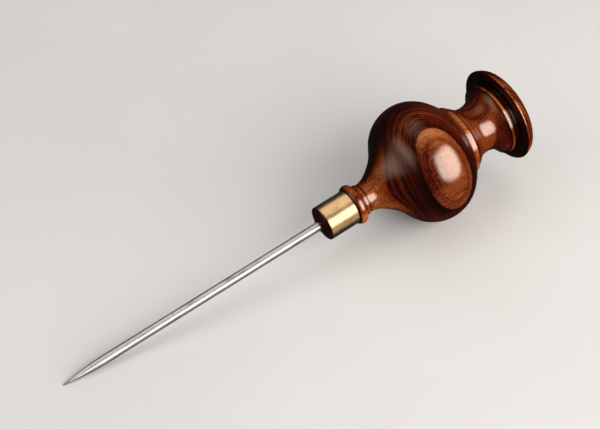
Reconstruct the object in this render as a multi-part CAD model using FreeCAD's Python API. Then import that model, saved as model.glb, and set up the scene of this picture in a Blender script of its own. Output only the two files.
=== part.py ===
import FreeCAD, Part
import math
import os

os.makedirs("parts", exist_ok=True)

# Scratch awl: a steel blade driven into a turned hardwood handle, with a brass ferrule on the
# handle's nose. Lengths in mm. Stations run along the tool's axis: 0 at the ferrule's front
# edge, negative toward the point, positive toward the pommel.

# Blade
BLADE_D = 3.2           # round steel rod, 1/8 inch
BLADE_REACH = 104.8     # ferrule's front edge to the centre of the tip's rounding
POINT_LEN = 18.0        # ogival point
POINT_END_R = 0.18      # radius left on the very tip
TAPER_START = -2.0      # just outside the nose: the driven end is filed to a slight taper
ROD_END = 7.4           # where the round rod ends inside the handle
ROD_END_R = 1.5
TANG_LEN = 30.0         # square tang behind it
TANG_W0 = 2.1           # tang width across flats at the rod
TANG_W1 = 1.2           # tang width across flats at its end

# Ferrule
FERRULE_OD = 12.7       # 1/2 inch brass tube
FERRULE_WALL = 0.95
FERRULE_LEN = 11.7
FERRULE_EDGE = 0.2      # eased outer edges

# Handle, front end
NOSE_LEN = 1.6          # nose cone standing out of the ferrule
NOSE_FRONT_R = 2.3
BEAD_R = 7.5
BEAD_C = 13.5           # station of the bead's crown
BEAD_FRONT_R = 6.25
BEAD_END = 15.15
BEAD_END_R = 6.3
FILLET_R = 5.8
FILLET_START = 15.6
FILLET_END = 16.8
NECK_R = 5.35
NECK_START = 17.2

# Handle, bulb
BULB_C = 43.7           # station of the widest point
BULB_R = 22.5
BULB_SWEEP = 14.3       # radius of the bulb's section
BULB_START = 34.0
BULB_JOIN = 53.5        # where the section flattens toward the quirk
BULB_BACK_SWEEP = 28.0
BULB_END = 57.2

# Handle, waist and pommel
QUIRK_R = 12.4          # bottom of the groove behind the bulb
COLLAR_R = 13.1
COLLAR_START = 57.7
COLLAR_END = 59.7
WAIST_START = 60.0
WAIST_START_R = 12.6
WAIST_R = 9.2
WAIST_C = 67.2
LIP_R = 13.55
LIP_START = 74.2
LIP_FOOT_R = 12.95
LIP_END = 75.4
STEP_R = 12.6
FACE_AT = 77.5          # pommel's front face
FACE_R = 15.5           # where that face starts to bevel back
EDGE_AT = 78.3          # pommel's widest edge
EDGE_EASE = 0.37
SHOULDER_AT = 77.45     # centre of the rounding behind that edge
SHOULDER_CENTRE_R = 12.9
SHOULDER_R = 4.95
CROWN_R = 36.0          # domed back


def at(t, r):
    """A point of the turned profile: station t on the axis, radius r."""
    return FreeCAD.Vector(t, 0, r)


def line(a, b):
    return Part.makeLine(a, b)


def arc(a, mid, b):
    return Part.Arc(a, mid, b).toShape()


def curve(points, first, last):
    """A smooth curve through the points, leaving along first and arriving along last."""
    spline = Part.BSplineCurve()
    spline.interpolate(Points=points, InitialTangent=first, FinalTangent=last)
    return spline.toShape()


def height_on(t, centre_t, centre_r, sweep):
    """Radius of the profile at station t on an arc with that centre and that sweep radius."""
    return centre_r + math.sqrt(sweep ** 2 - (t - centre_t) ** 2)


def arc_over(start, end, centre_t, centre_r, sweep):
    """Convex arc of the profile between two stations."""
    ends = [at(t, height_on(t, centre_t, centre_r, sweep)) for t in (start, (start + end) / 2, end)]
    return arc(ends[0], ends[1], ends[2])


def turned(edges):
    """Solid of revolution about the tool's axis from a closed profile."""
    face = Part.Face(Part.Wire(edges))
    solid = face.revolve(FreeCAD.Vector(0, 0, 0), FreeCAD.Vector(1, 0, 0), 360)
    return Part.Solid(solid) if solid.ShapeType != "Solid" else solid


def square(t, width):
    """Square section of the tang at station t."""
    h = width / 2
    corners = [FreeCAD.Vector(t, y, z) for y, z in ((-h, -h), (h, -h), (h, h), (-h, h), (-h, -h))]
    return Part.makePolygon(corners)


def tang():
    """The square taper behind the rod, which holds in the handle."""
    return Part.makeLoft([square(ROD_END, TANG_W0), square(ROD_END + TANG_LEN, TANG_W1)], True, True)


def make_blade():
    r = BLADE_D / 2
    tip = -BLADE_REACH
    shoulder = tip + POINT_LEN
    # Ogive: an arc that runs out along the rod and stops at the tip's small radius.
    ogive_r = (POINT_LEN ** 2 + (r - POINT_END_R) ** 2) / (2 * (r - POINT_END_R))
    mid = POINT_LEN / 2
    mid_r = r - ogive_r + math.sqrt(ogive_r ** 2 - mid ** 2)
    bend = POINT_END_R * math.sqrt(0.5)
    edges = [
        arc(at(tip - POINT_END_R, 0), at(tip - bend, bend), at(tip, POINT_END_R)),
        arc(at(tip, POINT_END_R), at(shoulder - mid, mid_r), at(shoulder, r)),
        line(at(shoulder, r), at(TAPER_START, r)),
        line(at(TAPER_START, r), at(ROD_END, ROD_END_R)),
        line(at(ROD_END, ROD_END_R), at(ROD_END, 0)),
        line(at(ROD_END, 0), at(tip - POINT_END_R, 0)),
    ]
    return turned(edges).fuse(tang()).removeSplitter()


def make_ferrule():
    tube = Part.makeCylinder(FERRULE_OD / 2, FERRULE_LEN, FreeCAD.Vector(0, 0, 0), FreeCAD.Vector(1, 0, 0))
    rims = [e for e in tube.Edges if e.Closed and e.Curve.TypeId == "Part::GeomCircle"]
    tube = tube.makeFillet(FERRULE_EDGE, rims)
    bore_r = FERRULE_OD / 2 - FERRULE_WALL
    bore = Part.makeCylinder(bore_r, FERRULE_LEN + 2, FreeCAD.Vector(-1, 0, 0), FreeCAD.Vector(1, 0, 0))
    return tube.cut(bore)


def front_profile():
    """Nose, tenon, bead, fillet and the neck's ogee up to the bulb."""
    tenon_r = FERRULE_OD / 2 - FERRULE_WALL
    sweep_r = BULB_R - BULB_SWEEP
    bulb_r = height_on(BULB_START, BULB_C, sweep_r, BULB_SWEEP)
    slope = (BULB_C - BULB_START) / (bulb_r - sweep_r)
    neck = [
        at(NECK_START, NECK_R),
        at(20.0, 5.75),
        at(24.0, 7.85),
        at(28.0, 11.1),
        at(31.2, 15.05),
        at(BULB_START, bulb_r),
    ]
    return [
        line(at(-NOSE_LEN, 0), at(-NOSE_LEN, NOSE_FRONT_R)),
        arc(at(-NOSE_LEN, NOSE_FRONT_R), at(-0.72, 4.05), at(0, tenon_r)),
        line(at(0, tenon_r), at(FERRULE_LEN, tenon_r)),
        line(at(FERRULE_LEN, tenon_r), at(FERRULE_LEN, BEAD_FRONT_R)),
        arc(at(FERRULE_LEN, BEAD_FRONT_R), at(BEAD_C, BEAD_R), at(BEAD_END, BEAD_END_R)),
        line(at(BEAD_END, BEAD_END_R), at(FILLET_START, NECK_R)),
        line(at(FILLET_START, NECK_R), at(FILLET_START, FILLET_R)),
        line(at(FILLET_START, FILLET_R), at(FILLET_END, FILLET_R)),
        line(at(FILLET_END, FILLET_R), at(NECK_START, NECK_R)),
        curve(neck, FreeCAD.Vector(1, 0, 0), FreeCAD.Vector(1, 0, slope)),
    ]


def bulb_back():
    """Centre of the flatter arc behind the bulb, which leaves the first arc without a corner."""
    sweep_r = BULB_R - BULB_SWEEP
    join_r = height_on(BULB_JOIN, BULB_C, sweep_r, BULB_SWEEP)
    scale = BULB_BACK_SWEEP / BULB_SWEEP
    return BULB_JOIN - scale * (BULB_JOIN - BULB_C), join_r - scale * (join_r - sweep_r)


def bulb_profile():
    back_t, back_r = bulb_back()
    return [
        arc_over(BULB_START, BULB_JOIN, BULB_C, BULB_R - BULB_SWEEP, BULB_SWEEP),
        arc_over(BULB_JOIN, BULB_END, back_t, back_r, BULB_BACK_SWEEP),
    ]


def waist_profile():
    """Quirk behind the bulb, collar, waist and flared lip."""
    waist = [
        at(WAIST_START, WAIST_START_R),
        at(61.6, 11.55),
        at(63.6, 10.0),
        at(WAIST_C, WAIST_R),
        at(71.8, 10.6),
        at(LIP_START, LIP_FOOT_R),
    ]
    back_t, back_r = bulb_back()
    return [
        line(at(BULB_END, height_on(BULB_END, back_t, back_r, BULB_BACK_SWEEP)), at(COLLAR_START, QUIRK_R)),
        line(at(COLLAR_START, QUIRK_R), at(COLLAR_START, COLLAR_R)),
        line(at(COLLAR_START, COLLAR_R), at(COLLAR_END, COLLAR_R)),
        line(at(COLLAR_END, COLLAR_R), at(WAIST_START, WAIST_START_R)),
        curve(waist, FreeCAD.Vector(1, 0, -0.5), FreeCAD.Vector(1, 0, 1.3)),
        line(at(LIP_START, LIP_FOOT_R), at(LIP_START, LIP_R)),
        line(at(LIP_START, LIP_R), at(LIP_END, LIP_R)),
        line(at(LIP_END, LIP_R), at(LIP_END, STEP_R)),
    ]


def pommel_profile():
    """Groove behind the lip, front face with its bevel, eased edge, rounding and domed back."""
    edge_r = height_on(EDGE_AT, SHOULDER_AT, SHOULDER_CENTRE_R, SHOULDER_R)
    bevel_end = at(EDGE_AT - EDGE_EASE, edge_r - EDGE_EASE)
    bend = EDGE_EASE * math.sqrt(0.5)
    reach = CROWN_R - SHOULDER_R
    crown_at = SHOULDER_AT - math.sqrt(reach ** 2 - SHOULDER_CENTRE_R ** 2)
    angle = math.asin(SHOULDER_CENTRE_R / reach)
    meet = at(crown_at + CROWN_R * math.cos(angle), CROWN_R * math.sin(angle))
    crown_mid = at(crown_at + CROWN_R * math.cos(angle / 2), CROWN_R * math.sin(angle / 2))
    turn = math.radians(40)
    shoulder_mid = at(SHOULDER_AT + SHOULDER_R * math.sin(turn), SHOULDER_CENTRE_R + SHOULDER_R * math.cos(turn))
    back = at(crown_at + CROWN_R, 0)
    return [
        line(at(LIP_END, STEP_R), at(FACE_AT, STEP_R)),
        line(at(FACE_AT, STEP_R), at(FACE_AT, FACE_R)),
        line(at(FACE_AT, FACE_R), bevel_end),
        arc(bevel_end, at(EDGE_AT - bend, edge_r - EDGE_EASE + bend), at(EDGE_AT, edge_r)),
        arc(at(EDGE_AT, edge_r), shoulder_mid, meet),
        arc(meet, crown_mid, back),
        line(back, at(-NOSE_LEN, 0)),
    ]


def make_handle(blade):
    """The turned handle, with the hole that the blade is driven into."""
    edges = front_profile() + bulb_profile() + waist_profile() + pommel_profile()
    return turned(edges).cut(blade)


def rest_tilt():
    """Angle at which the awl lies with its point and its bulb on the bench, in radians."""
    reach = BLADE_REACH + BULB_C
    sweep_r = BULB_R - BULB_SWEEP
    drop = (BULB_SWEEP - POINT_END_R) / math.hypot(reach, sweep_r)
    return math.atan2(sweep_r, reach) + math.asin(drop)


def lay_down(shapes):
    """Puts the tool in its lying pose: on z = 0, centred over the origin."""
    tilt = rest_tilt()
    turn = FreeCAD.Rotation(FreeCAD.Vector(0, 1, 0), -math.degrees(tilt))
    height = BLADE_REACH * math.sin(tilt) + POINT_END_R
    for shape in shapes:
        shape.Placement = FreeCAD.Placement(FreeCAD.Vector(0, 0, height), turn)
    box = Part.makeCompound(shapes).optimalBoundingBox(False, False)
    for shape in shapes:
        shape.translate(FreeCAD.Vector(-(box.XMin + box.XMax) / 2, 0, 0))


def main():
    blade = make_blade()
    nodes = {"blade": blade, "ferrule": make_ferrule(), "handle": make_handle(blade)}
    lay_down(list(nodes.values()))
    for name, shape in nodes.items():
        shape.exportStep("parts/" + name + ".step")


main()
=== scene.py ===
import math

import bmesh
import bpy
import numpy as np
from mathutils import Matrix, Vector

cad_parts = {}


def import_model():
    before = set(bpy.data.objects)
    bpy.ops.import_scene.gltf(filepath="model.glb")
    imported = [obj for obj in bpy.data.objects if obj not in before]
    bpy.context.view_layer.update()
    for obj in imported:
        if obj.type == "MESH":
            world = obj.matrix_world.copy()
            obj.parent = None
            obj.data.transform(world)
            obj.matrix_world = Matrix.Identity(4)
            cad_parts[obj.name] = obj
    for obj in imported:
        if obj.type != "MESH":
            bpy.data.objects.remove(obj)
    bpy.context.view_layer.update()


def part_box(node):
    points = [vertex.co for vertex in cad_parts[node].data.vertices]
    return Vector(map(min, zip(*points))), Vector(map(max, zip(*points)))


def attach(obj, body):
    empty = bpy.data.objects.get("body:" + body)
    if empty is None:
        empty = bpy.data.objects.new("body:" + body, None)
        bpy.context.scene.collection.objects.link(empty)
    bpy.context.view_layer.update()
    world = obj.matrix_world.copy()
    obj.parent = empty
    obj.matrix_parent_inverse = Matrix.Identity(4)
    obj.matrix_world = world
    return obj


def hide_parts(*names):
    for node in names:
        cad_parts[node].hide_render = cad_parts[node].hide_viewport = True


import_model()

# Sizes are in millimetres. A profile is a run of points: (station on the tool's axis, radius).
# Stations run from the ferrule's front edge, negative toward the point, positive toward the pommel.

# A hair under a millimetre, so that no point of a mesh leaves the box of the solids.
MM = 0.0009998
TILT = math.radians(8.6084)

# Blade
ROD_R = 1.6
BLADE_REACH = 104.8
POINT_LEN = 18
TIP_R = 0.18
TAPER_START = -2
ROD_END = 7.4
ROD_END_R = 1.5

# Ferrule
FERRULE_R = 6.35
FERRULE_LEN = 11.7
FERRULE_EDGE = 0.2
FERRULE_CHAMFER = 0.1
TENON_R = 5.4

# Handle, front end
NOSE_LEN = 1.6
NOSE_FRONT_R = 2.3
BEAD_FRONT_R = 6.25
BEAD_C, BEAD_R = 13.5, 7.5
BEAD_END, BEAD_END_R = 15.15, 6.3
FILLET_START, FILLET_END, FILLET_R = 15.6, 16.8, 5.8
NECK_START, NECK_R = 17.2, 5.35

# Handle, bulb
BULB_C, BULB_R = 43.7, 22.5
BULB_SWEEP = 14.3
BULB_SWEEP_R = BULB_R - BULB_SWEEP
BULB_START, BULB_JOIN, BULB_END = 34, 53.5, 57.2
BULB_BACK_SWEEP = 28

# Handle, waist and pommel
QUIRK_R = 12.4
COLLAR_START, COLLAR_END, COLLAR_R = 57.7, 59.7, 13.1
WAIST_START, WAIST_START_R = 60, 12.6
WAIST_C, WAIST_R = 67.2, 9.2
LIP_START, LIP_END, LIP_R = 74.2, 75.4, 13.55
LIP_FOOT_R = 12.95
STEP_R = 12.6
FACE_AT, FACE_R = 77.5, 15.5
EDGE_AT, EDGE_EASE = 78.3, 0.37
SHOULDER_AT, SHOULDER_C_R, SHOULDER_R = 77.45, 12.9, 4.95
CROWN_R = 36

# The tool's own frame, in metres: x along its axis from the ferrule's front edge toward the pommel.
AXIS = Vector((math.cos(TILT), 0, math.sin(TILT)))
low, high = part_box("ferrule")
START = (low + high) / 2 - AXIS * FERRULE_LEN / 2 / 1000
TOOL = Matrix.Translation(START) @ Matrix.Rotation(-TILT, 4, "Y")
MIDDLE = TOOL @ Vector((0.04, 0, 0))  # inside the bulb; lights and panels face it

# The heart of the tree runs beside the handle: its growth rings are cylinders about this line.
PITH_POINT = Vector((0.0437, 0.01410, -0.00877))
PITH_ALONG = Vector((1, -0.0546, 0.1308)).normalized()


def pith_frame():
    across = PITH_ALONG.cross(Vector((0, 0, 1))).normalized()
    third = PITH_ALONG.cross(across)
    turn = Matrix((PITH_ALONG, across, third)).transposed()
    return TOOL @ (Matrix.Translation(PITH_POINT) @ turn.to_4x4())


PITH = pith_frame()


# Profiles


def line(a, b, step=0.5):
    n = max(1, round(math.dist(a, b) / step))
    return [(a[0] + (b[0] - a[0]) * i / n, a[1] + (b[1] - a[1]) * i / n) for i in range(n + 1)]


def arc(a, mid, b, step=0.25):
    """Circular arc through three points."""
    pts = [complex(*p) for p in (a, mid, b)]
    w = (pts[2] - pts[0]) / (pts[1] - pts[0])
    c = (pts[1] - pts[0]) * (w - abs(w) ** 2) / (w - w.conjugate()) + pts[0]
    r = abs(pts[0] - c)
    turns = [np.angle((p - c) / (pts[0] - c)) for p in pts[1:]]
    if turns[0] * turns[1] < 0 or abs(turns[0]) > abs(turns[1]):
        turns[1] -= math.copysign(2 * math.pi, turns[1])
    n = max(4, round(abs(turns[1]) * r / step))
    out = [c + (pts[0] - c) * np.exp(1j * turns[1] * i / n) for i in range(n + 1)]
    return [(z.real, z.imag) for z in out]


def spline(points, first, last, step=0.25):
    """Smooth curve through the points, leaving along first and arriving along last."""
    p = np.array(points, float)
    k = np.r_[0, np.cumsum(np.linalg.norm(np.diff(p, axis=0), axis=1))]
    h = np.diff(k)
    n = len(p)
    a, b = np.zeros((n, n)), np.zeros((n, 2))
    a[0, 0] = a[-1, -1] = 1
    b[0] = np.array(first) / np.linalg.norm(first)
    b[-1] = np.array(last) / np.linalg.norm(last)
    for i in range(1, n - 1):
        a[i, i - 1:i + 2] = h[i], 2 * (h[i - 1] + h[i]), h[i - 1]
        b[i] = 3 * (h[i] * (p[i] - p[i - 1]) / h[i - 1] + h[i - 1] * (p[i + 1] - p[i]) / h[i])
    m = np.linalg.solve(a, b)
    out = []
    for i in range(n - 1):
        for s in np.linspace(0, 1, max(3, round(h[i] / step)), endpoint=i == n - 2):
            start = (2 * s**3 - 3 * s**2 + 1) * p[i] + h[i] * (s**3 - 2 * s**2 + s) * m[i]
            end = (3 * s**2 - 2 * s**3) * p[i + 1] + h[i] * (s**3 - s**2) * m[i + 1]
            out.append(tuple(start + end))
    return out


def joined(*runs):
    """One run of points from several, with doubled points dropped."""
    out = []
    for run in runs:
        out += [q for q in run if not out or math.dist(out[-1], q) > 1e-4]
    return out


def eased(points, corners, radius=0.12):
    """Rounds the given corners of a profile with a small curve."""
    out = []
    for i, q in enumerate(points):
        near = any(math.dist(q, c) < 1e-3 for c in corners)
        if not near or i in (0, len(points) - 1):
            out.append(q)
            continue
        a, b = Vector(points[i - 1]) - Vector(q), Vector(points[i + 1]) - Vector(q)
        cut = min(radius, a.length * 0.45, b.length * 0.45)
        pa, pb = Vector(q) + a.normalized() * cut, Vector(q) + b.normalized() * cut
        for s in (0, 0.25, 0.5, 0.75, 1):
            v = pa * (1 - s) ** 2 + Vector(q) * 2 * s * (1 - s) + pb * s**2
            out.append((v.x, v.y))
    return out


def on_arc(t, ct, cr, sweep):
    """Point of the profile at station t on an arc with that centre and that sweep radius."""
    return t, cr + math.sqrt(sweep**2 - (t - ct) ** 2)


def front_runs():
    """Nose, tenon, bead, fillet and the neck's ogee up to the bulb."""
    bulb = on_arc(BULB_START, BULB_C, BULB_SWEEP_R, BULB_SWEEP)
    neck = [(NECK_START, NECK_R), (20, 5.75), (24, 7.85), (28, 11.1), (31.2, 15.05), bulb]
    return [
        line((-NOSE_LEN, ROD_R), (-NOSE_LEN, NOSE_FRONT_R)),
        arc((-NOSE_LEN, NOSE_FRONT_R), (-0.72, 4.05), (0, TENON_R)),
        line((0, TENON_R), (FERRULE_LEN, TENON_R), 2),
        line((FERRULE_LEN, TENON_R), (FERRULE_LEN, BEAD_FRONT_R)),
        arc((FERRULE_LEN, BEAD_FRONT_R), (BEAD_C, BEAD_R), (BEAD_END, BEAD_END_R), 0.15),
        line((BEAD_END, BEAD_END_R), (FILLET_START, NECK_R)),
        line((FILLET_START, NECK_R), (FILLET_START, FILLET_R)),
        line((FILLET_START, FILLET_R), (FILLET_END, FILLET_R)),
        line((FILLET_END, FILLET_R), (NECK_START, NECK_R)),
        spline(neck, (1, 0), (1, (BULB_C - BULB_START) / (bulb[1] - BULB_SWEEP_R))),
    ]


def bulb_runs():
    """The bulb's round, then a flatter arc that leaves it without a corner."""
    start = on_arc(BULB_START, BULB_C, BULB_SWEEP_R, BULB_SWEEP)
    join = on_arc(BULB_JOIN, BULB_C, BULB_SWEEP_R, BULB_SWEEP)
    scale = BULB_BACK_SWEEP / BULB_SWEEP
    back = (BULB_JOIN - scale * (BULB_JOIN - BULB_C), join[1] - scale * (join[1] - BULB_SWEEP_R))
    mid = on_arc((BULB_JOIN + BULB_END) / 2, *back, BULB_BACK_SWEEP)
    return [
        arc(start, (BULB_C, BULB_R), join),
        arc(join, mid, on_arc(BULB_END, *back, BULB_BACK_SWEEP)),
    ]


def waist_runs(bulb_end):
    """Quirk behind the bulb, collar, waist and flared lip."""
    flare = [(61.6, 11.55), (63.6, 10), (WAIST_C, WAIST_R), (71.8, 10.6)]
    waist = [(WAIST_START, WAIST_START_R), *flare, (LIP_START, LIP_FOOT_R)]
    return [
        line(bulb_end, (COLLAR_START, QUIRK_R)),
        line((COLLAR_START, QUIRK_R), (COLLAR_START, COLLAR_R)),
        line((COLLAR_START, COLLAR_R), (COLLAR_END, COLLAR_R)),
        line((COLLAR_END, COLLAR_R), (WAIST_START, WAIST_START_R)),
        spline(waist, (1, -0.5), (1, 1.3)),
        line((LIP_START, LIP_FOOT_R), (LIP_START, LIP_R)),
        line((LIP_START, LIP_R), (LIP_END, LIP_R)),
        line((LIP_END, LIP_R), (LIP_END, STEP_R)),
    ]


def pommel_runs():
    """Groove behind the lip, front face with its bevel, eased edge, rounding and domed back."""
    edge = on_arc(EDGE_AT, SHOULDER_AT, SHOULDER_C_R, SHOULDER_R)
    bevel_end = (EDGE_AT - EDGE_EASE, edge[1] - EDGE_EASE)
    bend = EDGE_EASE * math.sqrt(0.5)
    reach = CROWN_R - SHOULDER_R
    crown = SHOULDER_AT - math.sqrt(reach**2 - SHOULDER_C_R**2)
    turn = math.asin(SHOULDER_C_R / reach)
    meet = (crown + CROWN_R * math.cos(turn), CROWN_R * math.sin(turn))
    mid = (crown + CROWN_R * math.cos(turn / 2), CROWN_R * math.sin(turn / 2))
    shoulder = (SHOULDER_AT + SHOULDER_R * math.sin(0.7), SHOULDER_C_R + SHOULDER_R * math.cos(0.7))
    return [
        line((LIP_END, STEP_R), (FACE_AT, STEP_R)),
        line((FACE_AT, STEP_R), (FACE_AT, FACE_R)),
        line((FACE_AT, FACE_R), bevel_end),
        arc(bevel_end, (EDGE_AT - bend, edge[1] - EDGE_EASE + bend), edge, 0.1),
        arc(edge, shoulder, meet),
        arc(meet, mid, (crown + CROWN_R, 0)),
    ]


def handle_profile():
    bulb = bulb_runs()
    bulb_end = bulb[-1][-1]
    corners = [
        (-NOSE_LEN, NOSE_FRONT_R), (BEAD_END, BEAD_END_R), (FILLET_START, FILLET_R), (FILLET_END, FILLET_R),
        bulb_end, (COLLAR_START, COLLAR_R), (COLLAR_END, COLLAR_R), (LIP_START, LIP_FOOT_R),
        (LIP_START, LIP_R), (LIP_END, LIP_R), (FACE_AT, STEP_R), (FACE_AT, FACE_R),
    ]
    return eased(joined(*front_runs(), *bulb, *waist_runs(bulb_end), *pommel_runs()), corners)


def ferrule_profile():
    """Section of the tube: outer edges rounded, the bore's front edge with a small chamfer."""
    ease = FERRULE_EDGE * (1 - math.sqrt(0.5))
    bore_front = (FERRULE_CHAMFER, TENON_R)
    out = joined(
        arc((FERRULE_EDGE, FERRULE_R), (ease, FERRULE_R - ease), (0, FERRULE_R - FERRULE_EDGE), 0.05),
        line((0, FERRULE_R - FERRULE_EDGE), (0, TENON_R + FERRULE_CHAMFER)),
        line((0, TENON_R + FERRULE_CHAMFER), bore_front),
        line(bore_front, (FERRULE_LEN, TENON_R), 1),
        line((FERRULE_LEN, TENON_R), (FERRULE_LEN, FERRULE_R - FERRULE_EDGE), 0.4),
        arc((FERRULE_LEN, FERRULE_R - FERRULE_EDGE), (FERRULE_LEN - ease, FERRULE_R - ease),
            (FERRULE_LEN - FERRULE_EDGE, FERRULE_R), 0.05),
        line((FERRULE_LEN - FERRULE_EDGE, FERRULE_R), (FERRULE_EDGE, FERRULE_R), 0.3),
    )
    return out[:-1]


def blade_profile():
    """The ogival point, the rod and its slight taper inside the handle."""
    tip, shoulder = -BLADE_REACH, POINT_LEN - BLADE_REACH
    rise = ROD_R - TIP_R
    sweep = (POINT_LEN**2 + rise**2) / (2 * rise)
    mid = shoulder - POINT_LEN / 2
    mid_r = ROD_R - sweep + math.sqrt(sweep**2 - (POINT_LEN / 2) ** 2)
    bend = TIP_R * math.sqrt(0.5)
    return joined(
        arc((tip - TIP_R, 0), (tip - bend, bend), (tip, TIP_R), 0.04),
        arc((tip, TIP_R), (mid, mid_r), (shoulder, ROD_R), 0.3),
        line((shoulder, ROD_R), (TAPER_START, ROD_R), 0.5),
        line((TAPER_START, ROD_R), (ROD_END, ROD_END_R), 2),
    )


# Meshes


def lathe(name, profile, around, closed=False):
    """Turns a profile about the tool's axis, with that many faces around."""
    bm = bmesh.new()
    rings = []
    for t, r in profile:
        if r < 1e-4:
            rings.append([bm.verts.new(TOOL @ Vector((t * MM, 0, 0)))])
            continue
        ring = []
        for k in range(around):
            a = 2 * math.pi * k / around
            ring.append(bm.verts.new(TOOL @ (Vector((t, r * math.cos(a), r * math.sin(a))) * MM)))
        rings.append(ring)
    pairs = list(zip(rings, rings[1:])) + ([(rings[-1], rings[0])] if closed else [])
    for a, b in pairs:
        for k in range(around):
            j = (k + 1) % around
            corner = [a[k % len(a)], a[j % len(a)], b[j % len(b)], b[k % len(b)]]
            corner = [v for i, v in enumerate(corner) if v not in corner[:i]]
            if len(corner) > 2:
                bm.faces.new(corner)
    bmesh.ops.recalc_face_normals(bm, faces=bm.faces)
    for f in bm.faces:
        f.smooth = True
    return linked(name, bm)


def linked(name, bm):
    """Makes an object of a bmesh and adds it to the scene."""
    mesh = bpy.data.meshes.new(name)
    bm.to_mesh(mesh)
    bm.free()
    obj = bpy.data.objects.new(name, mesh)
    bpy.context.scene.collection.objects.link(obj)
    return obj


# Materials


class Nodes:
    """Short ways to add and join shader nodes in a tree."""

    def __init__(self, tree):
        self.tree = tree

    def put(self, socket, value):
        if isinstance(value, bpy.types.NodeSocket):
            self.tree.links.new(value, socket)
        else:
            socket.default_value = value

    def add(self, kind, inputs=None, out=0, **settings):
        node = self.tree.nodes.new(kind)
        for key, value in settings.items():
            setattr(node, key, value)
        for key, value in (inputs or {}).items():
            self.put(node.inputs[key], value)
        return node.outputs[out]

    def math(self, op, a, b=0.0, c=0.0):
        return self.add("ShaderNodeMath", {0: a, 1: b, 2: c}, operation=op)

    def plus(self, base, amount, weight):
        """base + amount * weight"""
        return self.math("MULTIPLY_ADD", amount, weight, base)

    def times(self, first, *others):
        for other in others:
            first = self.math("MULTIPLY", first, other)
        return first

    def wave(self, value, period):
        return self.math("SINE", self.math("MULTIPLY", value, 2 * math.pi / period))

    def vec(self, op, a, b=(0, 0, 0), out=0):
        return self.add("ShaderNodeVectorMath", {0: a, 1: b}, out=out, operation=op)

    def scaled(self, a, factors):
        return self.vec("MULTIPLY", a, factors)

    def part(self, vector, axis):
        return self.add("ShaderNodeSeparateXYZ", {0: vector}, out=axis)

    def frame(self, matrix):
        """Position in millimetres in a frame fixed to the object."""
        here = self.add("ShaderNodeTexCoord", out="Object")
        place = {"Vector": here, "Location": matrix.translation, "Scale": (0.001,) * 3}
        place["Rotation"] = matrix.to_euler()
        return self.add("ShaderNodeMapping", place, vector_type="TEXTURE")

    def noise(self, vector, per_mm, detail=2.0, rough=0.5, out="Fac"):
        """Noise with about that many waves to a unit of each axis."""
        inputs = {"Vector": self.scaled(vector, per_mm), "Scale": 1.0, "Detail": detail, "Roughness": rough}
        return self.add("ShaderNodeTexNoise", inputs, out=out)

    def ramp(self, fac, stops, smooth="LINEAR"):
        node = self.tree.nodes.new("ShaderNodeValToRGB")
        ramp = node.color_ramp
        ramp.interpolation = smooth
        while len(ramp.elements) < len(stops):
            ramp.elements.new(0.5)
        for element, (at, colour) in zip(ramp.elements, stops):
            element.position = at
            element.color = (*colour, 1) if hasattr(colour, "__len__") else (colour,) * 3 + (1,)
        self.put(node.inputs[0], fac)
        return node.outputs[0]

    def curve(self, value, points):
        """A value from 0 to 1 read off a smooth curve through the points, held level past its ends."""
        first, last = points[0][0], points[-1][0]
        places = [((x - first) / (last - first), y) for x, y in points]
        node = self.tree.nodes.new("ShaderNodeFloatCurve")
        line = node.mapping.curves[0]
        for x, y in places[1:-1]:
            line.points.new(x, y)
        line.points[0].location = places[0]
        line.points[-1].location = places[-1]
        for p in line.points:
            p.handle_type = "AUTO_CLAMPED"
        node.mapping.update()
        value = self.math("DIVIDE", self.math("SUBTRACT", value, first), last - first)
        self.put(node.inputs["Value"], value)
        return node.outputs[0]

    def mix(self, fac, a, b, blend="MIX"):
        node = self.tree.nodes.new("ShaderNodeMix")
        node.data_type = "RGBA"
        node.blend_type = blend
        self.put(node.inputs[0], fac)
        self.put(node.inputs[6], a if isinstance(a, bpy.types.NodeSocket) else (*a, 1))
        self.put(node.inputs[7], b if isinstance(b, bpy.types.NodeSocket) else (*b, 1))
        return node.outputs[2]

    def bump(self, height, distance, strength):
        return self.add("ShaderNodeBump", {"Height": height, "Distance": distance, "Strength": strength})


class Surface(Nodes):
    """A new material's nodes."""

    def __init__(self, name):
        self.material = bpy.data.materials.new(name)
        self.material.use_nodes = True
        super().__init__(self.material.node_tree)

    def finish(self, **sockets):
        shader = self.tree.nodes["Principled BSDF"]
        for key, value in sockets.items():
            self.put(shader.inputs[key.replace("_", " ")], value)
        return self.material


# Lightness of the wood across its growth rings: (ring radius in mm, lightness).
RINGS = [
    (0, 0.35), (1.6, 0.5), (2.6, 0.2), (3.4, 0.5), (4.9, 0.42), (5.5, 0.16), (6.4, 0.5), (8.1, 0.6),
    (8.9, 0.22), (9.5, 0.5), (11.2, 0.44), (12, 0.18), (12.9, 0.5), (14.3, 0.55), (15, 0.22), (15.8, 0.42),
    (17.2, 0.5), (18, 0.3), (18.8, 0.56), (20.4, 0.6), (21.2, 0.44), (22, 0.66), (23.4, 0.82), (24.4, 0.88),
    (25.3, 0.86), (26.2, 0.74), (26.7, 0.58), (27.15, 0.24), (27.7, 0.5), (28.3, 0.22), (28.8, 0.42),
    (29.4, 0.52), (29.9, 0.4), (30.4, 0.16), (30.9, 0.34), (31.4, 0.42), (31.8, 0.2), (32.3, 0.34),
    (33, 0.44), (33.4, 0.2), (33.8, 0.28), (34.3, 0.18), (34.9, 0.16), (35.4, 0.05), (35.97, 0.0),
    (36.1, 0.55), (36.5, 0.68), (37, 0.66), (37.3, 0.56), (37.6, 0.7), (38.4, 0.74), (40, 0.76),
]
# The bulb reaches past this ring only in one place, the pale eye: its edge begins and ends at these radii.
EYE_EDGE = (35.88, 36.08)
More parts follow.
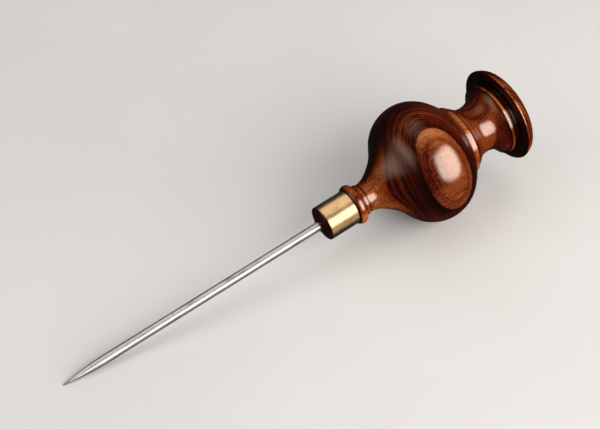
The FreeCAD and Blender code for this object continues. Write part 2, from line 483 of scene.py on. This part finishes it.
# Colour of the wood from its darkest to its palest: (lightness, colour).
WOOD = [
    (0.0, (0.0024, 0.0006, 0.0005)),
    (0.15, (0.011, 0.0011, 0.0006)),
    (0.3, (0.030, 0.0024, 0.0009)),
    (0.45, (0.056, 0.0058, 0.0014)),
    (0.6, (0.094, 0.0145, 0.0025)),
    (0.75, (0.145, 0.027, 0.0045)),
    (0.9, (0.205, 0.047, 0.009)),
    (1.0, (0.30, 0.09, 0.025)),
]
# Painted shade in the turned grooves and on the faces toward the point, with old polish in the grooves:
# (station in mm, darkening).
GROOVE_SHADE_AND_POLISH = [
    (0, 0.5), (10, 0), (11.7, 0.9), (12.2, 0.05), (14.9, 0.05), (15.4, 0.7), (15.8, 0.05),
    (16.7, 0.05), (17.1, 0.5), (18, 0.02), (56.6, 0.0), (57.5, 0.85), (58.1, 0.1), (59.5, 0.05),
    (59.9, 0.5), (60.8, 0.03), (73.6, 0.03), (74.1, 0.4), (74.5, 0.05), (75.3, 0.1), (75.6, 0.85),
    (77.2, 0.75), (77.9, 0.35), (78.2, 0.0), (90, 0),
]
# Painted light on the handle's near side, over the beads, collar and pommel: (station in mm, lift).
NEAR_SIDE_PAINTED_LIGHT = [
    (0, 0), (11.7, 0), (12.3, 0.7), (14.6, 0.7), (15.3, 0.1), (17, 0), (57, 0), (57.8, 0.62), (59.6, 0.58),
    (60.5, 0), (77.6, 0), (78.5, 0.3), (81, 0.3), (90, 0.25),
]


class Wood(Surface):
    """The handle's wood. Its lightness, from 0 to 1, is built up step by step and then coloured."""

    def __init__(self):
        super().__init__("handle_wood")
        self.grain, self.tool = self.frame(PITH), self.frame(TOOL)
        self.station, self.side, rise = [self.part(self.tool, axis) for axis in (0, 1, 2)]
        self.upper = self.curve(rise, [(-24, 0), (0, 0.02), (7, 0.25), (14, 0.9), (19, 1), (24, 0.8)])
        # Two slanting lines across the axis, in mm: up over the eye, and up and away over the top.
        self.across = self.vec("DOT_PRODUCT", self.tool, (0, 0.53, 0.85), out=1)
        self.climb = self.vec("DOT_PRODUCT", self.tool, (0, 0.79, 0.61), out=1)
        # The second as an angle: -1 on the near lower side, 1 on the far upper side.
        reach = self.vec("LENGTH", self.scaled(self.tool, (0, 1, 1)), out=1)
        self.turn = self.math("DIVIDE", self.climb, reach)

    def lift(self, amount, weight=1.0):
        self.light = self.plus(self.light, amount, weight)

    def darken(self, share):
        self.light = self.times(self.light, self.math("SUBTRACT", 1.0, share))

    def vary(self, noise, weight):
        self.lift(self.math("SUBTRACT", noise, 0.5), weight)

    def rings(self):
        """Growth rings, which wander a little across the grain."""
        slow = self.noise(self.grain, (0.018, 0.05, 0.05), 1.0, out="Color")
        fine = self.noise(self.grain, (0.09, 0.5, 0.5), 3.0, 0.6, out="Color")
        slow = self.scaled(self.vec("SUBTRACT", slow, (0.5,) * 3), (0, 1.0, 1.0))
        fine = self.scaled(self.vec("SUBTRACT", fine, (0.5,) * 3), (0, 0.5, 0.5))
        bent = self.vec("ADD", self.grain, self.vec("ADD", slow, fine))
        radius = self.vec("LENGTH", self.scaled(bent, (0, 1, 1)), out=1)
        self.light = self.curve(radius, RINGS)
        reach = RINGS[-1][0]
        edge = [(EYE_EDGE[0] / reach, 0.0), (EYE_EDGE[1] / reach, 1.0)]
        self.eye = self.ramp(self.math("DIVIDE", radius, reach), edge)
        around = self.math("SUBTRACT", 1.0, self.eye)
        # Close rings and thinner ones between them. The upper side is paler, partly as painted light from
        # above, and shows its rings more.
        wander = self.noise(self.grain, (0.05, 0.35, 0.35), 3.0, 0.6)
        phase = self.plus(radius, wander, 1.6)
        self.close, thin = self.wave(phase, 0.56), self.wave(phase, 0.27)
        where = self.noise(self.grain, (0.02, 0.2, 0.2))
        pale = self.plus(0.24, self.times(self.close, where), 0.34)
        self.lift(self.times(pale, self.upper, around))
        self.lift(self.times(thin, where, around), 0.13)

    def eye_figure(self):
        """Across the eye the grain shows as lengthwise stripes, strongest toward its lower end."""
        waver = self.noise(self.grain, (0.07, 0.2, 0.2))
        stripe = self.wave(self.plus(self.across, waver, 2.2), 1.05)
        low_end = self.curve(self.across, [(-24, 1), (-10, 1), (-5, 0.55), (0, 0.12), (6, 0.2), (24, 0.2)])
        broken = self.noise(self.grain, (0.12, 0.7, 0.7), 3.0, 0.6)
        broken = self.ramp(broken, [(0.35, 0.2), (0.6, 1.0)])
        self.lift(self.times(stripe, low_end, broken, self.eye), 0.17)
        # The edge toward the point is painted darker as shade, with the rings' dark lines running on into
        # it.
        front = self.curve(self.station, [(0, 1), (36, 1), (41, 0.8), (44.5, 0.0), (90, 0)])
        middle = [(-24, 0), (-16, 0), (-10, 0.7), (-6, 1), (1, 0.9), (6, 0.3), (24, 0)]
        dark = self.plus(self.plus(0.22, broken, 0.12), self.close, 0.13)
        self.lift(self.times(front, self.curve(self.climb, middle), self.eye, dark), -1.0)
        # The upper end is pale, with close hatching.
        cap = self.curve(self.climb, [(-24, 0), (-2, 0), (6, 0.7), (12, 1), (24, 1)])
        hatch = self.wave(self.plus(self.across, waver, 1.5), 0.5)
        self.lift(self.times(cap, self.eye, self.plus(0.33, hatch, 0.12)))

    def sides(self):
        """Painted light and shade: the far side painted darker, the near side painted paler on the beads,
        collar and pommel, the eye's upper part paler in part from painted light, and the underside's edge a
        little paler, a painted reflection.
        """
        far = [(-24, 0), (1, 0), (6, 0.22), (13, 0.66), (17, 0.62), (20, 0.35), (24, 0.3)]
        # Painted shade on the far side.
        self.darken(self.curve(self.side, far))
        # Painted light on the near side.
        near = self.curve(self.turn, [(-1, 1), (-0.3, 0.85), (0, 0.55), (0.4, 0.1), (1, 0)])
        self.lift(self.curve(self.station, NEAR_SIDE_PAINTED_LIGHT), near)
        # The eye's upper part a little paler, partly painted light from above.
        self.lift(self.times(self.upper, self.eye), 0.10)
        # Painted reflection: the lower rim a little paler.
        self.lift(self.curve(self.turn, [(-1, 1), (-0.92, 0.6), (-0.8, 0), (1, 0)]), 0.2)

    def waist_streak(self):
        """A dark streak that runs slantwise over the waist's flare."""
        slant = self.plus(self.station, self.across, -0.3)
        streak = self.curve(slant, [(0, 0), (70.2, 0), (71.6, 1), (75, 1), (76.5, 0), (100, 0)])
        lower = self.curve(self.across, [(-24, 0.2), (-12, 0.9), (-2, 1), (4, 0.5), (8, 0), (24, 0)])
        flare = self.curve(self.station, [(0, 0), (66, 0), (68, 1), (74, 1), (74.3, 0), (90, 0)])
        self.lift(self.times(streak, lower, flare), -0.4)

    def pommel(self):
        """The crown's far side is painted darker as shade, and its arris is painted paler: a painted
        highlight along the edge, with some wear.
        """
        crown = self.curve(self.station, [(0, 0), (77.4, 0), (77.9, 1), (90, 1)])
        # Painted shade on the crown's far side.
        self.darken(self.times(crown, self.curve(self.turn, [(-1, 0), (0.2, 0.1), (0.7, 0.5), (1, 0.65)])))
        arris = self.curve(self.station, [(0, 0), (77.8, 0), (78.0, 1), (78.35, 1), (78.6, 0), (90, 0)])
        arris_glint_and_wear = self.curve(self.turn, [(-1, 0.3), (-0.6, 1), (0.7, 1), (0.9, 0.3), (1, 0)])
        # Painted highlight along the arris, with some wear.
        self.lift(self.times(arris, arris_glint_and_wear), 0.25)

    def neck_flank(self):
        """The far side of the neck's flare is painted darker as shade."""
        flank = self.curve(self.station, [(0, 0), (18, 0), (22, 1), (34, 0.8), (40, 0), (90, 0)])
        self.darken(self.times(flank, self.curve(self.turn, [(-1, 0), (0.68, 0), (0.88, 0.5), (1, 0.7)])))

    def fibres(self):
        """Clouding, fibres, mottling, a net of fine dark lines and open pores."""
        self.cloud = self.noise(self.grain, (0.035, 0.13, 0.13), 3.0, 0.55)
        self.vary(self.cloud, 0.32)
        self.fibre = self.noise(self.grain, (0.10, 1.7, 1.7), 4.0, 0.7)
        self.vary(self.fibre, self.plus(0.42, self.eye, 0.40))
        self.vary(self.noise(self.grain, (0.9, 1.6, 1.6), 3.0, 0.65), 0.28)
        # The net is strongest on the neck.
        net = self.math("SUBTRACT", self.noise(self.grain, (0.55, 0.8, 0.8), 2.0, 0.6), 0.5)
        self.net = self.ramp(self.math("ABSOLUTE", net), [(0.0, 1.0), (0.06, 0.0)])
        neck = [(0, 0.1), (17, 0.3), (20, 0.34), (27, 0.26), (33, 0.1), (90, 0.07)]
        strength = self.curve(self.station, neck)
        self.lift(strength, 0.18)
        self.lift(self.times(self.net, strength), -1.0)
        # Pores are short dark dashes along the grain.
        pore = self.noise(self.grain, (0.25, 3.6, 3.6), 1.0, 0.4)
        self.pore = self.ramp(pore, [(0.60, 0.0), (0.70, 1.0)])
        self.lift(self.pore, -0.2)

    def end_grain_and_shade(self):
        """End grain drinks the polish and goes dark; faces toward the point are painted darker still, as
        shade.
        """
        along = (PITH.to_3x3() @ Vector((1, 0, 0))).normalized()
        normal = self.add("ShaderNodeNewGeometry", out="Normal")
        facing = self.vec("DOT_PRODUCT", normal, along, out=1)
        shade_to_point = [(-1, 0.75), (-0.8, 0.42), (-0.6, 0.2), (-0.3, 0.04)]
        self.darken(self.curve(facing, [*shade_to_point, (0, 0), (0.3, 0.04), (0.6, 0.16), (1, 0.3)]))

    def colour(self):
        """The wood's colour, which is more golden in the eye."""
        colour = self.ramp(self.light, WOOD)
        golden = self.mix(1.0, colour, (1.08, 1.3, 1.6), "MULTIPLY")
        return self.mix(self.eye, colour, golden)

    def skin(self):
        """A thick glossy polish with the lathe's faint rings, and the fibres and pores just showing."""
        turned = self.noise(self.tool, (3.0, 0.15, 0.15))
        height = self.plus(self.times(turned, 0.16), self.noise(self.tool, (0.45,) * 3), 0.9)
        for detail, weight in ((self.pore, -0.16), (self.net, -0.05), (self.fibre, 0.3)):
            height = self.plus(height, detail, weight)
        return self.bump(height, 0.00004, 0.8)


def wood_material():
    n = Wood()
    n.rings()
    n.eye_figure()
    n.sides()
    n.waist_streak()
    n.pommel()
    n.neck_flank()
    n.fibres()
    n.end_grain_and_shade()
    # Painted shade in the grooves and on the faces toward the point, with old polish in the grooves.
    n.darken(n.curve(n.station, GROOVE_SHADE_AND_POLISH))
    skin = n.skin()
    return n.finish(
        Base_Color=n.colour(), Roughness=n.plus(0.10, n.cloud, 0.08), Normal=skin,
        Specular_IOR_Level=0.5, Specular_Tint=(1, 0.82, 0.70, 1),
        Coat_Weight=0.25, Coat_Roughness=0.04, Coat_IOR=1.5, Coat_Normal=skin,
    )


def brass_material():
    """Worn satin brass with turning lines, specks and darker edges."""
    n = Surface("ferrule_brass")
    tool = n.frame(TOOL)
    patina = n.noise(tool, (0.22, 0.3, 0.3), 4.0, 0.6)
    lines = n.noise(tool, (9.0, 0.12, 0.12), 4.0, 0.7)
    brass = [(0.3, (0.44, 0.27, 0.13)), (0.5, (0.64, 0.42, 0.22)), (0.7, (0.70, 0.47, 0.26))]
    tint = n.ramp(lines, [(0.3, (0.78, 0.74, 0.68)), (0.6, (1.0, 1.0, 1.0))])
    colour = n.mix(1.0, n.ramp(patina, brass), tint, "MULTIPLY")
    specks = n.ramp(n.noise(tool, (1.1,) * 3), [(0.64, 0.0), (0.72, 1.0)])
    colour = n.mix(n.times(specks, 0.55), colour, (0.24, 0.14, 0.05))
    edge = [(0, 0.85), (0.35, 0.4), (0.9, 0.06), (10.9, 0.05), (11.5, 0.5), (12, 0.9)]
    colour = n.mix(n.curve(n.part(tool, 0), edge), colour, (0.20, 0.11, 0.035))
    rough = n.plus(n.plus(0.15, patina, 0.12), lines, 0.16)
    height = n.plus(n.noise(tool, (0.5,) * 3), lines, 0.35)
    return n.finish(Base_Color=colour, Metallic=1.0, Roughness=rough, Normal=n.bump(height, 0.00005, 0.7))


def steel_material():
    """Polished steel with lengthwise scratches, stains and small pits."""
    n = Surface("blade_steel")
    tool = n.frame(TOOL)
    scratch = n.noise(tool, (0.03, 6.0, 6.0), 4.0, 0.7)
    stain = n.noise(tool, (0.12, 0.6, 0.6), 4.0, 0.6)
    pits = n.ramp(n.noise(tool, (0.7, 1.6, 1.6), 3.0, 0.6), [(0.66, 0.0), (0.72, 1.0)])
    steel = [(0.32, (0.24, 0.215, 0.19)), (0.48, (0.43, 0.42, 0.405)), (0.7, (0.50, 0.495, 0.485))]
    tint = n.ramp(scratch, [(0.3, (0.72, 0.71, 0.70)), (0.62, (1.0, 1.0, 1.0))])
    colour = n.mix(1.0, n.ramp(stain, steel), tint, "MULTIPLY")
    colour = n.mix(n.times(pits, 0.8), colour, (0.07, 0.05, 0.04))
    rough = n.plus(n.plus(0.20, scratch, 0.16), stain, 0.16)
    height = n.plus(n.times(scratch, 0.35), pits, -1.2)
    return n.finish(Base_Color=colour, Metallic=1.0, Roughness=rough, Normal=n.bump(height, 0.000012, 0.7))


def floor_material():
    n = Surface("floor_pale")
    spot = n.noise(n.add("ShaderNodeTexCoord", out="Object"), (9.0,) * 3, 4.0)
    colour = n.ramp(spot, [(0.3, (0.60, 0.585, 0.57)), (0.7, (0.64, 0.625, 0.61))])
    return n.finish(Base_Color=colour, Roughness=0.7)


# Pieces


def place(obj, node, slot, material):
    obj.data.materials.append(material)
    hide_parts(node)
    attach(obj, "root")


handle = lathe("handle_turned", handle_profile(), 192)
ferrule = lathe("ferrule_tube", ferrule_profile(), 160, closed=True)
blade = lathe("blade_rod", blade_profile(), 64)
place(handle, "handle", "handle_wood", wood_material())
place(ferrule, "ferrule", "ferrule_brass", brass_material())
place(blade, "blade", "blade_steel", steel_material())


# Stage: a plain pale floor and soft studio light


def stage_floor():
    bm = bmesh.new()
    bmesh.ops.create_grid(bm, x_segments=2, y_segments=2, size=4)
    floor = linked("floor", bm)
    floor.data.materials.append(floor_material())
    floor.visible_glossy = floor.visible_shadow = False


def toward(azimuth, elevation):
    """Direction with that azimuth and elevation in degrees; azimuth 0 is the front, 90 the pommel's end."""
    a, e = math.radians(azimuth), math.radians(elevation)
    return Vector((math.sin(a) * math.cos(e), -math.cos(a) * math.cos(e), math.sin(e)))


def face_middle(obj, azimuth, elevation, distance):
    """Puts a light or panel in that direction from the tool, turned to face it."""
    way = toward(azimuth, elevation)
    obj.location = MIDDLE + way * distance
    obj.rotation_euler = way.to_track_quat("Z", "Y").to_euler()


WARM = (1, 0.97, 0.94)
WARMER = (1, 0.96, 0.92)
PANEL = (1, 0.955, 0.92)
AMBER = (1, 0.80, 0.68)


def softbox(name, azimuth, elevation, distance, size, power, colour=(1, 1, 1)):
    """Light for the matt side of things; the panels below make the highlights."""
    light = bpy.data.lights.new(name, "AREA")
    light.shape = "RECTANGLE"
    light.size, light.size_y = size
    light.energy = power
    light.color = colour
    obj = bpy.data.objects.new(name, light)
    face_middle(obj, azimuth, elevation, distance)
    obj.visible_camera = obj.visible_glossy = False
    bpy.context.scene.collection.objects.link(obj)


def panel_material(name, glow, solid, colour):
    """Clear, with a glow that is full over the middle share named solid and fades out to the edges."""
    n = Surface(name)
    where = n.add("ShaderNodeTexCoord", out="Generated")
    roundness = 3.5
    reach = 0.0
    for axis in (0, 1):
        u = n.math("ABSOLUTE", n.math("MULTIPLY_ADD", n.part(where, axis), 2, -1))
        reach = n.math("ADD", n.math("POWER", u, roundness), reach)
    reach = n.math("POWER", reach, 1 / roundness)
    strength = n.times(n.ramp(reach, [(solid, 1.0), (1.0, 0.0)], "EASE"), glow)
    lamp = n.add("ShaderNodeEmission", {"Color": (*colour, 1), "Strength": strength})
    clear = n.add("ShaderNodeBsdfTransparent")
    lamp = n.add("ShaderNodeAddShader", {0: lamp, 1: clear})
    n.put(n.tree.nodes["Material Output"].inputs["Surface"], lamp)
    return n.material


def card(name, azimuth, elevation, distance, size, glow, solid, pieces, colour=PANEL):
    """A glowing panel that only shows in the polish of the pieces named."""
    x, y = size[0] / 2, size[1] / 2
    bm = bmesh.new()
    bm.faces.new([bm.verts.new((*corner, 0)) for corner in ((-x, -y), (x, -y), (x, y), (-x, y))])
    panel = linked(name, bm)
    panel.data.materials.append(panel_material(name, glow, solid, colour))
    face_middle(panel, azimuth, elevation, distance)
    panel.visible_camera = panel.visible_diffuse = panel.visible_shadow = False
    lit = bpy.data.collections.new(name)
    for piece in pieces:
        lit.objects.link(piece)
    panel.light_linking.receiver_collection = lit


def world(level, above, below, seen):
    """Even room light: its strength for matt surfaces, in reflections (above, below) and to the camera."""
    studio = bpy.data.worlds.new("studio")
    studio.use_nodes = True
    n = Nodes(studio.node_tree)
    rise = n.part(n.add("ShaderNodeTexCoord", out="Generated"), 2)
    mirrored = n.ramp(n.math("MULTIPLY_ADD", rise, 0.5, 0.5), [(0.44, below), (0.54, above)])
    path = n.tree.nodes.new("ShaderNodeLightPath")
    strength = n.add("ShaderNodeMix", {0: path.outputs["Is Glossy Ray"], 2: level, 3: mirrored})
    strength = n.add("ShaderNodeMix", {0: path.outputs["Is Camera Ray"], 2: strength, 3: seen})
    back = n.tree.nodes["Background"]
    back.inputs["Color"].default_value = (1, 0.985, 0.965, 1)
    n.put(back.inputs["Strength"], strength)
    bpy.context.scene.world = studio


wooden, metal = [handle], [ferrule, blade]
stage_floor()
softbox("key", 13, 27, 0.75, (1.05, 0.80), 12.0, WARM)
softbox("soft", -100, 45, 0.9, (0.8, 0.8), 2.5, WARM)
softbox("top", 150, 70, 1.1, (1.2, 1.0), 3.6)
softbox("right", 85, 2, 0.9, (0.9, 0.8), 4.0, WARMER)
softbox("back", 160, 12, 1.0, (1.0, 0.7), 2.5)
card("key_on_wood", 13, 26, 0.75, (1.14, 0.96), 11.5, 0.6, wooden)
card("fill_on_wood", -104, 14, 0.85, (1.15, 0.85), 2.2, 0.0, wooden, AMBER)
card("over_on_wood", -155, 66, 0.9, (1.1, 0.9), 0.9, 0.0, wooden, AMBER)
card("key_on_metal", 13, 26, 0.80, (1.14, 0.85), 4.6, 0.7, metal)
card("over_on_metal", 170, 72, 0.9, (1.7, 1.8), 1.45, 0.5, metal)
card("bench_on_metal", 0, -30, 0.75, (1.4, 0.8), 0.8, 0.3, metal)
card("left_on_metal", -125, 35, 0.9, (1.3, 1.1), 2.0, 0.3, metal)
card("right_on_metal", 92, 14, 0.9, (0.8, 0.8), 2.0, 0.3, metal)
world(level=0.15, above=0.012, below=0.018, seen=0.6)


# Camera, looking down on the tool from the front and the point's side


def set_camera():
    camera = bpy.data.objects.new("camera", bpy.data.cameras.new("camera"))
    camera.data.lens = 98.9
    camera.data.sensor_width = 36
    camera.location = START + Vector((-0.2398, -0.3302, 0.3986))
    camera.rotation_euler = toward(-34.905, 44.005).to_track_quat("Z", "Y").to_euler()
    bpy.context.scene.collection.objects.link(camera)
    bpy.context.scene.camera = camera


set_camera()
bpy.context.scene.view_settings.view_transform = "Standard"
